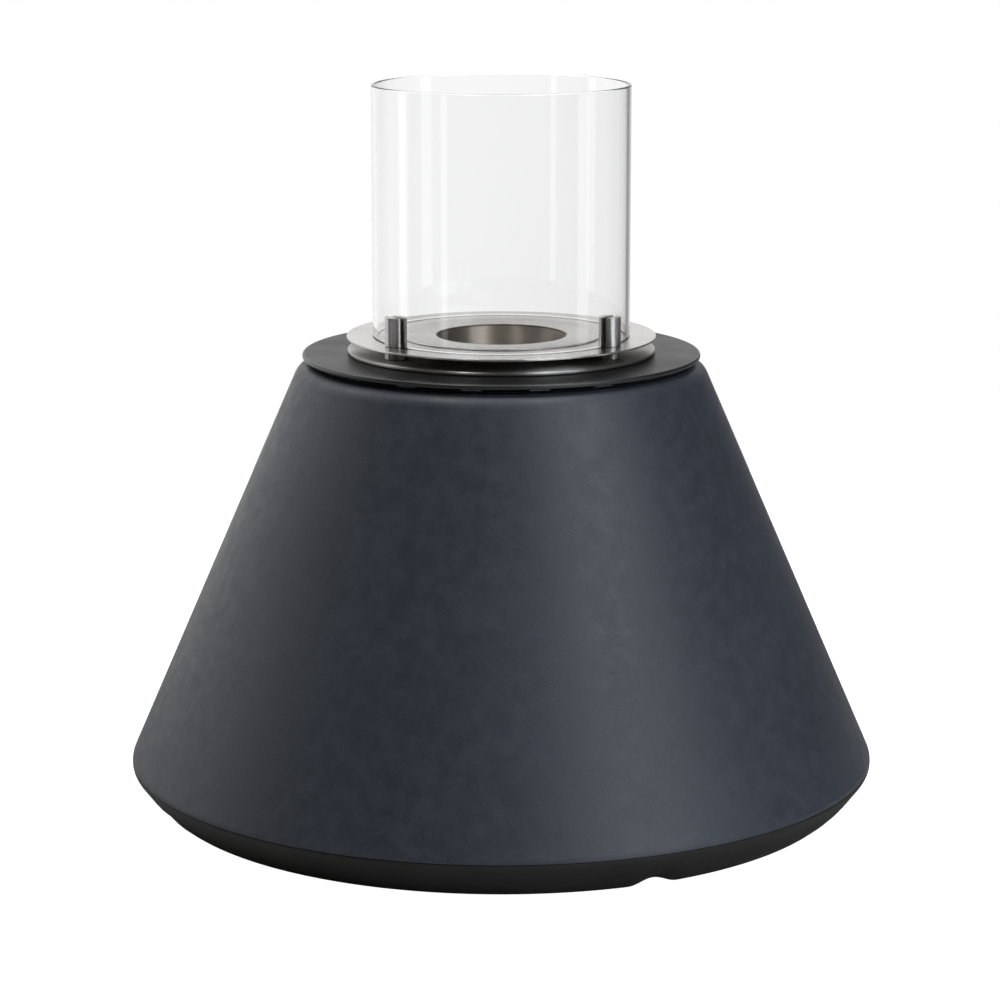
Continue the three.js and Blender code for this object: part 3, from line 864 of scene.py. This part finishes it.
def plates():
    coated = round_plate("top_plate_coated", "top_plate", POWDER_COAT, PLATE_ROUNDING, 0.3 * MM,
                         (POST_SCREW_HOLES, STUD_HOLES))
    border = outer("top_plate") - PLATE_ROUNDING
    paint(coated, POWDER_EDGE, lambda reach, height: reach > border)
    stand(coated, "insert", "top_plate", "top_plate")
    disc = round_plate("base_disc_brushed", "base_disc", DISC_STEEL, DISC_ROUNDING, 0.6 * MM,
                       (POST_SCREW_HOLES, STUD_HOLES))
    stand(disc, "insert", "brushed_steel", "base_disc")
    ring = round_plate("ring_plate_brushed", "ring_plate", RING_STEEL, RING_ROUNDING, 0.3 * MM,
                       (POST_SCREW_HOLES,))
    stand(ring, "insert", "brushed_steel", "ring_plate")


plates()


def collar():
    """A rolled strip that keeps the plate centred in the shell."""
    bottom, top = low("locating_collar"), high("locating_collar")
    inside, outside = inner("locating_collar"), outer("locating_collar")
    rounding = (outside - inside) * 0.4
    piece = lathe("collar_rolled", [
        (inside, bottom, rounding), (outside, bottom, rounding),
        (outside, top, 0.2 * MM), (inside, top, 0.2 * MM),
    ], ZINC_STEEL)
    stand(piece, "insert", "fasteners", "locating_collar")


collar()


def standoff(node, clearance, places):
    """A short turned column with a hole where a screw or stud goes through it."""
    corner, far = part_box(node)
    place = middle(node)
    radius = (far.x - corner.x) / 2
    hole_places = [p - place for p in places if (p - place).length < radius]
    piece = lathe(f"{node}_turned", [
        (0, corner.z), (radius, corner.z, 0.4 * MM), (radius, far.z, 0.4 * MM), (0, far.z),
    ], POLISHED_STEEL, SMALL_ROUND)
    cut(piece, drill(clearance, corner.z, far.z, hole_places))
    weigh_normals(piece)
    piece.location = place
    stand(piece, "insert", "polished_steel", node)


for side in ("left", "right"):
    standoff(f"standoff_front_{side}", SCREW_CLEARANCE, SCREW_PLACES)
    standoff(f"standoff_rear_{side}", STUD_CLEARANCE, STUD_PLACES)

screws("post_screw", 4, 3 * MM, 2.2 * MM, 1.5 * MM, "insert")


def stud(number):
    """A weld stud, its thread running up to just under the ring."""
    node = f"ring_stud_{number}"
    corner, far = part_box(node)
    radius = (far.x - corner.x) / 2
    corners = [
        (0, corner.z), (radius * 0.8, corner.z, 0.2 * MM),
        *threaded(corner.z + STUD_PITCH, far.z - 2 * MM, radius, STUD_PITCH),
        (radius * THREAD_ROOT, far.z, 0.1 * MM), (0, far.z),
    ]
    piece = lathe(f"{node}_threaded", corners, ZINC_STEEL, TINY_ROUND)
    piece.location = middle(node)
    stand(piece, "insert", "fasteners", node)


def nut(number):
    """A hexagon nut with its corners turned off."""
    node = f"stud_nut_{number}"
    corner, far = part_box(node)
    radius = (far.x - corner.x) / 2
    piece = prism(f"{node}_hexagon", circle(radius, 6), corner.z, far.z, ZINC_STEEL)
    cone = lathe("cutter", [
        (0, corner.z), (radius * 0.88, corner.z), (radius * 1.06, corner.z + radius * 0.16),
        (radius * 1.06, far.z - radius * 0.16), (radius * 0.88, far.z), (0, far.z),
    ], ZINC_STEEL, TINY_ROUND)
    cut(piece, [cone], "INTERSECT")
    cut(piece, drill(STUD_CLEARANCE, corner.z, far.z, [Vector()]))
    piece.location = middle(node)
    stand(piece, "insert", "fasteners", node)


for number in (1, 2):
    stud(number)
    nut(number)


# ---- Posts --------------------------------------------------------------------------------

GLASS_MIDDLE = (inner("glass_tube") + outer("glass_tube")) / 2


def round_edges(piece, size):
    modifier = piece.modifiers.new("edges", "BEVEL")
    modifier.width = size
    modifier.segments = 3
    modifier.limit_method = "ANGLE"
    modifier.angle_limit = SHARP
    applied(piece)
    piece.data.shade_smooth()
    piece.data.set_sharp_from_angle(angle=SHARP)


def cheek(side, part, wall, operation):
    """One half of a round post, cut to a wall that runs round the axis beside the glass."""
    node = f"{side}_post_{part}"
    bottom, top = low(node), high(node)
    post = middle(f"standoff_front_{side}")
    corner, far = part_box(f"standoff_front_{side}")
    radius = (far.x - corner.x) / 2
    piece = prism(f"{node}_polished", circle(radius, POST_ROUND), bottom, top, POLISHED_STEEL)
    disc = circle(wall, WALL_ROUND, complex(-post.x, -post.y))
    cut(piece, [prism("cutter", disc, bottom - MM, top + MM, POLISHED_STEEL)], operation)
    holes = [p - post for p in SCREW_PLACES if (p - post).length < radius]
    round_edges(piece, POST_EDGE)
    cut(piece, drill(SCREW_CLEARANCE, bottom - MM, bottom + POST_THREAD_DEPTH, holes))
    weigh_normals(piece)
    piece.location = post
    stand(piece, "insert", "polished_steel", node)


def pad(node, post_angle):
    """A silicone pad in a post's slot."""
    bottom, top = low(node), high(node)
    distances = [hypot(v.co.x, v.co.y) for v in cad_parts[node].data.vertices]
    span = PAD_WIDTH / GLASS_MIDDLE * 180 / pi
    radii = (min(distances), max(distances))
    piece = prism(f"{node}_silicone", sector(radii, post_angle, span), bottom, top, SILICONE, 0.2 * MM, 2)
    weigh_normals(piece)
    stand(piece, "insert", "silicone", node)


for side in ("left", "right"):
    post_place = middle(f"standoff_front_{side}")
    turn = atan2(post_place.x, -post_place.y) * 180 / pi
    cheek(side, "outer", GLASS_MIDDLE + SLOT_HALF_WIDTH, "DIFFERENCE")
    cheek(side, "inner", GLASS_MIDDLE - SLOT_HALF_WIDTH, "INTERSECT")
    pad(f"{side}_pad_outer", turn)
    pad(f"{side}_pad_inner", turn)


# ---- Glass --------------------------------------------------------------------------------


def glass_tube():
    bottom, top = low("glass_tube"), high("glass_tube")
    inside, outside = inner("glass_tube"), outer("glass_tube")
    piece = lathe("glass_tube_drawn", [
        (inside, bottom, 0.8 * MM), (outside, bottom, 0.8 * MM),
        (outside, top, 1.2 * MM), (inside, top, 1.2 * MM),
    ], CLEAR_GLASS, PLATE_ROUND)
    stand(piece, "glass", "clear_glass", "glass_tube")


glass_tube()


# ---- Burner -------------------------------------------------------------------------------


def burner_flange():
    """A dished flange with a bevelled rim, drawn down into the throat."""
    bottom, top = low("burner_flange"), high("burner_flange")
    throat, wide = inner("burner_flange"), outer("burner_flange")
    seat = top - FLANGE_SHEET
    piece = lathe("burner_flange_drawn", [
        (throat, bottom, 0.3 * MM), (throat + FLANGE_SHEET, bottom, 0.3 * MM),
        (throat + FLANGE_SHEET, seat - DISH_DROP, 0.6 * MM), (DISH_RADIUS, seat, 6 * MM),
        (wide, seat), (wide, seat + 0.15 * MM, 0.1 * MM), (wide - FLANGE_BEVEL, top, 0.15 * MM),
        (DISH_RADIUS, top, 6 * MM), (throat, top - DISH_DROP, 0.8 * MM),
    ], FLANGE_STEEL, PLATE_ROUND)
    lip = top - DISH_DROP - LIP_SHADE_REACH
    paint(piece, THROAT_STEEL, lambda reach, height: reach < throat + 0.2 * MM)
    paint(piece, CUT_EDGE, lambda reach, height: reach > wide - FLANGE_BEVEL)
    # Painted shade: the faces of the throat's lip get dark browns that stand for the shade at its edge.
    paint(piece, LIP_PAINTED_SHADE, lambda reach, height: reach < throat + LIP_SHADE_REACH and height > lip)
    stand(piece, "burner", "brushed_steel", "burner_flange")


def can(name, node):
    """A drawn can, with rounded corners and a rolled lip."""
    bottom, top, wide = low(node), high(node), outer(node)
    piece = lathe(name, [
        (0, bottom), (wide, bottom, 4 * MM), (wide, top, 0.5 * MM), (wide - CAN_SHEET, top, 0.5 * MM),
        (wide - CAN_SHEET, bottom + CAN_SHEET, 3 * MM), (0, bottom + CAN_SHEET),
    ], SHEET_STEEL)
    stand(piece, "burner", "brushed_steel", node)


def absorber():
    bottom, top, wide = low("absorber"), high("absorber"), outer("absorber")
    piece = lathe("absorber_pressed", [
        (0, bottom), (wide, bottom, 3 * MM), (wide, top, 2.5 * MM), (0, top),
    ], CERAMIC_FIBRE)
    stand(piece, "burner", "ceramic_fibre", "absorber")


def grid():
    """A sheet disc with rows of deburred holes."""
    bottom, top, wide = low("retaining_grid"), high("retaining_grid"), outer("retaining_grid")
    piece = prism("retaining_grid_punched", circle(wide, ROUND), bottom, top, SHEET_STEEL, 0.2 * MM, 2)
    places = [on_circle(radius, i * 360 / holes) for radius, holes in GRID_ROWS for i in range(holes)]
    cut(piece, drill(GRID_HOLE, bottom, top, places))
    weigh_normals(piece)
    stand(piece, "burner", "brushed_steel", "retaining_grid")


burner_flange()
can("burner_can_drawn", "burner_can")
can("fuel_cup_drawn", "fuel_cup")
absorber()
grid()


# ---- Studio -------------------------------------------------------------------------------

SWEEP_DIRECTION = (-0.54, 0.83, 0.15)  # towards the middle of the lit sweep, behind on the left
SWEEP_EDGES = (0.32, 0.85)  # cosines of the angles from there at which it has faded and is full
ROOM_LEVEL = 0.06
THROUGH_GLASS_LEVEL = 0.92
FAR_FLOOR_LEVEL = 0.28
FAR_FLOOR_FADE = -0.12  # sine of the angle below level at which it is full
FLOOR_RADIUS = 1.3
AIM = Vector((0, 0, 0.25))
COOL = (0.88, 0.93, 1.0)


def floor():
    """A pale floor that the camera sees as white, straight and through the glass."""
    shape = bmesh.new()
    bmesh.ops.create_circle(shape, cap_ends=True, radius=FLOOR_RADIUS, segments=96)
    finish = Finish("floor_paint", Roughness=0.9, Specular_IOR_Level=0.1)
    finish.colour(finish.mix(finish.noise(30, 3), (0.50, 0.50, 0.50), (0.53, 0.53, 0.53)))
    finish.shader.inputs["Emission Color"].default_value = (1, 1, 1, 1)
    path = finish.node("ShaderNodeLightPath").outputs
    seen = finish.math("MAXIMUM", path["Is Camera Ray"], path["Is Transmission Ray"])
    finish.feed(finish.shader.inputs["Emission Strength"], seen)
    finish_mesh("floor", shape, finish.material)


def softbox(name, azimuth, elevation, distance, width, height, power, tint=(1, 1, 1)):
    """A flat soft light aimed at the middle of the object, hidden from the camera."""
    data = bpy.data.lights.new(name, "AREA")
    data.shape = "RECTANGLE"
    data.size = width
    data.size_y = height
    data.energy = power
    data.color = tint
    light = bpy.data.objects.new(name, data)
    offset = on_circle(cos(radians(elevation)), azimuth, sin(radians(elevation))) * distance
    light.location = AIM + offset
    light.rotation_euler = offset.to_track_quat("Z", "Y").to_euler()
    light.visible_camera = False
    bpy.context.scene.collection.objects.link(light)


def surroundings():
    """A white sweep behind the object, a lit floor far out, and a dim room above and in front.
    The camera sees plain white, and nearly white through the glass."""
    world = bpy.data.worlds.new("studio")
    world.use_nodes = True
    bpy.context.scene.world = world
    world.node_tree.nodes.clear()
    w = Nodes(world.node_tree)
    direction = w.node("ShaderNodeTexCoord").outputs["Generated"]
    facing = w.node("ShaderNodeVectorMath", operation="DOT_PRODUCT")
    w.feed(facing.inputs[0], direction)
    w.feed(facing.inputs[1], SWEEP_DIRECTION)
    sweep = w.span(facing.outputs["Value"], *SWEEP_EDGES, ROOM_LEVEL, 1.0)
    far_floor = w.span(w.parts(direction)["Z"], 0.0, FAR_FLOOR_FADE, 0.0, FAR_FLOOR_LEVEL)
    path = w.node("ShaderNodeLightPath").outputs
    unreflected = w.span(path["Glossy Depth"], 0.4, 0.6, THROUGH_GLASS_LEVEL, 0.0)
    through_glass = w.math("MULTIPLY", path["Is Transmission Ray"], unreflected)
    seen = w.math("MAXIMUM", path["Is Camera Ray"], through_glass)
    background = w.node("ShaderNodeBackground")
    w.feed(background.inputs["Color"], (1, 1, 1, 1))
    w.feed(background.inputs["Strength"], w.math("MAXIMUM", seen, w.math("MAXIMUM", sweep, far_floor)))
    output = w.node("ShaderNodeOutputWorld")
    w.feed(output.inputs["Surface"], background.outputs[0])


floor()
softbox("key_light", 45, 35, 2.8, 1.6, 1.7, 34.5, COOL)
softbox("overhead_left", -62, 73, 2.2, 0.36, 0.36, 11)
softbox("overhead_right", 66, 73, 2.2, 0.40, 0.40, 12)
softbox("side_light", -112, 44, 1.3, 0.36, 0.36, 1.2)
softbox("floor_glow", 34, -16, 0.85, 0.5, 0.4, 1.5, COOL)
softbox("left_card", -97, -1, 2.0, 0.37, 0.38, 0.44)
softbox("left_strip", -52, -1, 2.0, 0.20, 0.38, 0.24)
softbox("right_card", 75, -1, 2.0, 0.43, 0.38, 0.51)
surroundings()
bpy.context.scene.view_settings.view_transform = "Standard"
